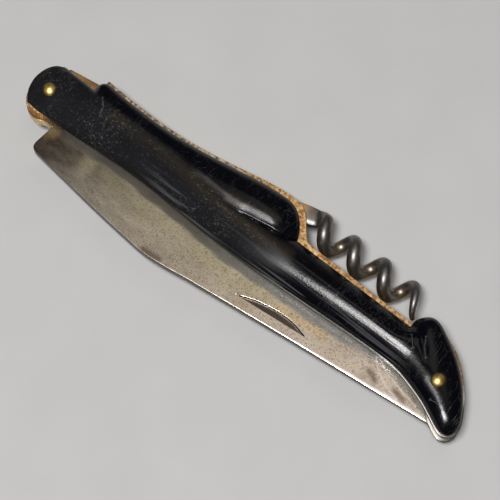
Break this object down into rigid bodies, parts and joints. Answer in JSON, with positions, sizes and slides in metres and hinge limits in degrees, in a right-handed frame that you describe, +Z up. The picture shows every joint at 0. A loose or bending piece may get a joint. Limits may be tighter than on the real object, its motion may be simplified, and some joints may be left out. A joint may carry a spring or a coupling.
{
  "type": "folding pocket knife with corkscrew",
  "caption": "Closed folding pocket knife: horn handle on brass liners, a blade that folds out of its slot and a corkscrew that swings out of its back.",
  "frame": {"origin": "centre of the closed knife's footprint, on the surface that it lies on", "axes": "+X from the blade pivot end to the curved tail, +Y from the blade's side to the corkscrew's side, +Z up through the handle's thickness"},
  "size_m": [0.1124, 0.0298, 0.0118],
  "materials": {
    "horn": "polished black horn, finely scratched",
    "liner_brass": "worn brass with dirt in its edges",
    "spring_steel": "dull aged steel",
    "blade_steel": "polished carbon steel with a warm grey patina",
    "corkscrew_steel": "dark polished steel",
    "rivet_brass": "polished domed heads"
  },
  "bodies": {
    "handle": {"front_scale": "horn", "back_scale": "horn", "front_liner": "liner_brass", "back_liner": "liner_brass", "back_spring": "spring_steel", "blade_pivot_pin": "rivet_brass", "tail_pin": "rivet_brass", "corkscrew_pivot_pin": "spring_steel", "spring_pin": "spring_steel"},
    "blade": {"blade": "blade_steel"},
    "corkscrew": {"corkscrew": "corkscrew_steel"}
  },
  "joints": [
    {"name": "blade_hinge", "type": "hinge", "parent": "handle", "child": "blade", "pos_m": [-0.05118, -0.00038, 0.0059], "axis": [0, 0, -1], "range_deg": [0, 180]},
    {"name": "corkscrew_hinge", "type": "hinge", "parent": "handle", "child": "corkscrew", "pos_m": [0.00172, 0.00992, 0.0059], "axis": [0, 0, 1], "range_deg": [0, 90]}
  ]
}
